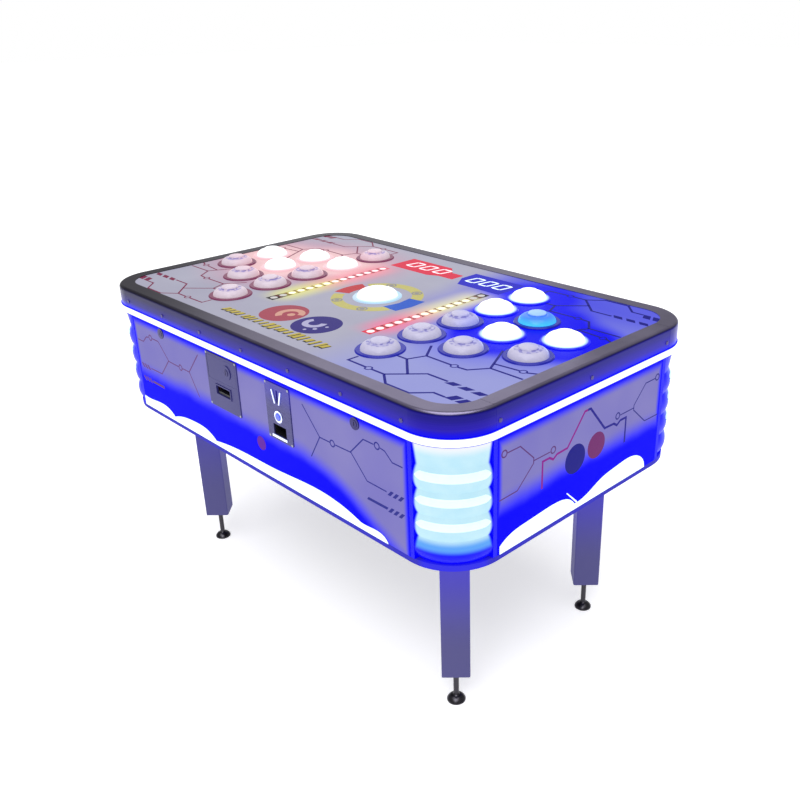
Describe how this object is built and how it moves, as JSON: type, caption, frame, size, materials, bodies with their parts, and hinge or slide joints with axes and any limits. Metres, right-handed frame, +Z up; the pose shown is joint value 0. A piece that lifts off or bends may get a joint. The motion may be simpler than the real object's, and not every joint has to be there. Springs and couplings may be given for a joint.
{
  "type": "cocktail table cabinet",
  "caption": "Light-up dome-button game table: a lidded cabinet with rounded lit corners, steel rim, coin and ticket plates, on square legs with levelling feet.",
  "frame": {"origin": "on the floor, under the middle of the table", "axes": "+X along the table, +Y away from the coin side, +Z up"},
  "size_m": [1.224, 0.7525, 0.7715],
  "materials": {
    "black_board": "painted black",
    "plywood": "raw birch plywood",
    "printed_panel": "edge-lit printed acrylic",
    "light_cover": "milky, lit from behind",
    "lit_acrylic": "white acrylic lit from behind",
    "light_strip": "blue translucent light strip",
    "leg_paint": "satin grey paint",
    "fastener_steel": "zinc-plated",
    "board": "raw fibreboard",
    "playfield_print": "printed acrylic under gloss",
    "stainless": "brushed stainless",
    "display_window": "smoked window over LED digits",
    "ring_plastic": "dark blue gloss",
    "switch_parts": "moulded switch bodies and lamp boards",
    "hinge_steel": "plain steel",
    "lock_chrome": "chrome plate",
    "coin_plate": "blue-lit dark metal",
    "mechanism": "black moulding",
    "reject_button": "dark blue gloss",
    "plate_steel": "grey brushed steel",
    "zinc_sheet": "zinc-plated sheet",
    "circuit_board": "green circuit board",
    "black_plastic": "black moulding",
    "rocker_plastic": "red translucent rocker",
    "foot_steel": "dark oxide steel",
    "dome_plastic": "milky translucent moulding"
  },
  "bodies": {
    "cabinet": {"base_board": "black_board", "carcass_frame": "plywood", "front_graphic_panel": "printed_panel", "rear_graphic_panel": "printed_panel", "end_graphic_panels": "printed_panel", "corner_light_covers": "light_cover", "lower_light_panels": "lit_acrylic", "light_strips": "light_strip", "legs": "leg_paint", "cabinet_fasteners": "fastener_steel", "lid_hinge_frames": "hinge_steel", "lock_barrels": "lock_chrome", "coin_faceplate": "coin_plate", "coin_mechanism": "mechanism", "access_plate": "plate_steel", "ticket_dispenser": "mechanism", "cash_box": "zinc_sheet", "power_supply": "zinc_sheet", "controller_board": "circuit_board", "speaker": "black_plastic", "mains_inlet": "black_plastic"},
    "lid": {"playfield_board": "board", "playfield_sheet": "playfield_print", "steel_rim": "stainless", "rim_screws": "fastener_steel", "led_displays": "display_window", "button_housings": "ring_plastic", "button_switches": "switch_parts", "lid_hinges_and_catches": "hinge_steel"},
    "lid_lock_left": {"lid_lock_left": "lock_chrome"},
    "lid_lock_right": {"lid_lock_right": "lock_chrome"},
    "access_door": {"access_door": "plate_steel"},
    "access_door_lock": {"access_door_lock": "lock_chrome"},
    "coin_reject_button": {"coin_reject_button": "reject_button"},
    "power_rocker": {"power_rocker": "rocker_plastic"},
    "levelling_foot_front_right": {"levelling_foot_front_right": "foot_steel"},
    "levelling_foot_rear_right": {"levelling_foot_rear_right": "foot_steel"},
    "levelling_foot_rear_left": {"levelling_foot_rear_left": "foot_steel"},
    "levelling_foot_front_left": {"levelling_foot_front_left": "foot_steel"},
    "dome_centre": {"dome_centre": "dome_plastic"},
    "dome_left_01": {"dome_left_01": "dome_plastic"},
    "dome_left_02": {"dome_left_02": "dome_plastic"},
    "dome_left_03": {"dome_left_03": "dome_plastic"},
    "dome_left_04": {"dome_left_04": "dome_plastic"},
    "dome_left_05": {"dome_left_05": "dome_plastic"},
    "dome_left_06": {"dome_left_06": "dome_plastic"},
    "dome_left_07": {"dome_left_07": "dome_plastic"},
    "dome_left_08": {"dome_left_08": "dome_plastic"},
    "dome_left_09": {"dome_left_09": "dome_plastic"},
    "dome_left_10": {"dome_left_10": "dome_plastic"},
    "dome_right_01": {"dome_right_01": "dome_plastic"},
    "dome_right_02": {"dome_right_02": "dome_plastic"},
    "dome_right_03": {"dome_right_03": "dome_plastic"},
    "dome_right_04": {"dome_right_04": "dome_plastic"},
    "dome_right_05": {"dome_right_05": "dome_plastic"},
    "dome_right_06": {"dome_right_06": "dome_plastic"},
    "dome_right_07": {"dome_right_07": "dome_plastic"},
    "dome_right_08": {"dome_right_08": "dome_plastic"},
    "dome_right_09": {"dome_right_09": "dome_plastic"},
    "dome_right_10": {"dome_right_10": "dome_plastic"}
  },
  "joints": [
    {"name": "lid_hinge", "type": "hinge", "parent": "cabinet", "child": "lid", "pos_m": [0, 0.3755, 0.7], "axis": [-1, 0, 0], "range_deg": [0, 80]},
    {"name": "lid_lock_left_turn", "type": "hinge", "parent": "cabinet", "child": "lid_lock_left", "pos_m": [-0.356, -0.34, 0.668], "axis": [0, 1, 0], "range_deg": [0, 90]},
    {"name": "lid_lock_right_turn", "type": "hinge", "parent": "cabinet", "child": "lid_lock_right", "pos_m": [0.356, -0.34, 0.668], "axis": [0, -1, 0], "range_deg": [0, 90]},
    {"name": "access_door_hinge", "type": "hinge", "parent": "cabinet", "child": "access_door", "pos_m": [-0.1475, -0.3665, 0.6465], "axis": [0, 0, -1], "range_deg": [0, 95]},
    {"name": "access_door_lock_turn", "type": "hinge", "parent": "access_door", "child": "access_door_lock", "pos_m": [-0.073, -0.35, 0.648], "axis": [0, 1, 0], "range_deg": [0, 90]},
    {"name": "coin_reject_press", "type": "slide", "parent": "cabinet", "child": "coin_reject_button", "axis": [0, 1, 0], "range_m": [0, 0.004], "stiffness_N_per_m": 300, "springref_m": -0.003},
    {"name": "power_rocker_tip", "type": "hinge", "parent": "cabinet", "child": "power_rocker", "pos_m": [0.42, 0.3655, 0.577], "axis": [-1, 0, 0], "range_deg": [0, 14]},
    {"name": "levelling_foot_front_right_screw", "type": "slide", "parent": "cabinet", "child": "levelling_foot_front_right", "axis": [0, 0, 1], "range_m": [-0.02, 0]},
    {"name": "levelling_foot_rear_right_screw", "type": "slide", "parent": "cabinet", "child": "levelling_foot_rear_right", "axis": [0, 0, 1], "range_m": [-0.02, 0]},
    {"name": "levelling_foot_rear_left_screw", "type": "slide", "parent": "cabinet", "child": "levelling_foot_rear_left", "axis": [0, 0, 1], "range_m": [-0.02, 0]},
    {"name": "levelling_foot_front_left_screw", "type": "slide", "parent": "cabinet", "child": "levelling_foot_front_left", "axis": [0, 0, 1], "range_m": [-0.02, 0]},
    {"name": "dome_centre_press", "type": "slide", "parent": "lid", "child": "dome_centre", "axis": [0, 0, -1], "range_m": [0, 0.004], "stiffness_N_per_m": 400, "springref_m": -0.004},
    {"name": "dome_left_01_press", "type": "slide", "parent": "lid", "child": "dome_left_01", "axis": [0, 0, -1], "range_m": [0, 0.004], "stiffness_N_per_m": 400, "springref_m": -0.004},
    {"name": "dome_left_02_press", "type": "slide", "parent": "lid", "child": "dome_left_02", "axis": [0, 0, -1], "range_m": [0, 0.004], "stiffness_N_per_m": 400, "springref_m": -0.004},
    {"name": "dome_left_03_press", "type": "slide", "parent": "lid", "child": "dome_left_03", "axis": [0, 0, -1], "range_m": [0, 0.004], "stiffness_N_per_m": 400, "springref_m": -0.004},
    {"name": "dome_left_04_press", "type": "slide", "parent": "lid", "child": "dome_left_04", "axis": [0, 0, -1], "range_m": [0, 0.004], "stiffness_N_per_m": 400, "springref_m": -0.004},
    {"name": "dome_left_05_press", "type": "slide", "parent": "lid", "child": "dome_left_05", "axis": [0, 0, -1], "range_m": [0, 0.004], "stiffness_N_per_m": 400, "springref_m": -0.004},
    {"name": "dome_left_06_press", "type": "slide", "parent": "lid", "child": "dome_left_06", "axis": [0, 0, -1], "range_m": [0, 0.004], "stiffness_N_per_m": 400, "springref_m": -0.004},
    {"name": "dome_left_07_press", "type": "slide", "parent": "lid", "child": "dome_left_07", "axis": [0, 0, -1], "range_m": [0, 0.004], "stiffness_N_per_m": 400, "springref_m": -0.004},
    {"name": "dome_left_08_press", "type": "slide", "parent": "lid", "child": "dome_left_08", "axis": [0, 0, -1], "range_m": [0, 0.004], "stiffness_N_per_m": 400, "springref_m": -0.004},
    {"name": "dome_left_09_press", "type": "slide", "parent": "lid", "child": "dome_left_09", "axis": [0, 0, -1], "range_m": [0, 0.004], "stiffness_N_per_m": 400, "springref_m": -0.004},
    {"name": "dome_left_10_press", "type": "slide", "parent": "lid", "child": "dome_left_10", "axis": [0, 0, -1], "range_m": [0, 0.004], "stiffness_N_per_m": 400, "springref_m": -0.004},
    {"name": "dome_right_01_press", "type": "slide", "parent": "lid", "child": "dome_right_01", "axis": [0, 0, -1], "range_m": [0, 0.004], "stiffness_N_per_m": 400, "springref_m": -0.004},
    {"name": "dome_right_02_press", "type": "slide", "parent": "lid", "child": "dome_right_02", "axis": [0, 0, -1], "range_m": [0, 0.004], "stiffness_N_per_m": 400, "springref_m": -0.004},
    {"name": "dome_right_03_press", "type": "slide", "parent": "lid", "child": "dome_right_03", "axis": [0, 0, -1], "range_m": [0, 0.004], "stiffness_N_per_m": 400, "springref_m": -0.004},
    {"name": "dome_right_04_press", "type": "slide", "parent": "lid", "child": "dome_right_04", "axis": [0, 0, -1], "range_m": [0, 0.004], "stiffness_N_per_m": 400, "springref_m": -0.004},
    {"name": "dome_right_05_press", "type": "slide", "parent": "lid", "child": "dome_right_05", "axis": [0, 0, -1], "range_m": [0, 0.004], "stiffness_N_per_m": 400, "springref_m": -0.004},
    {"name": "dome_right_06_press", "type": "slide", "parent": "lid", "child": "dome_right_06", "axis": [0, 0, -1], "range_m": [0, 0.004], "stiffness_N_per_m": 400, "springref_m": -0.004},
    {"name": "dome_right_07_press", "type": "slide", "parent": "lid", "child": "dome_right_07", "axis": [0, 0, -1], "range_m": [0, 0.004], "stiffness_N_per_m": 400, "springref_m": -0.004},
    {"name": "dome_right_08_press", "type": "slide", "parent": "lid", "child": "dome_right_08", "axis": [0, 0, -1], "range_m": [0, 0.004], "stiffness_N_per_m": 400, "springref_m": -0.004},
    {"name": "dome_right_09_press", "type": "slide", "parent": "lid", "child": "dome_right_09", "axis": [0, 0, -1], "range_m": [0, 0.004], "stiffness_N_per_m": 400, "springref_m": -0.004},
    {"name": "dome_right_10_press", "type": "slide", "parent": "lid", "child": "dome_right_10", "axis": [0, 0, -1], "range_m": [0, 0.004], "stiffness_N_per_m": 400, "springref_m": -0.004}
  ]
}
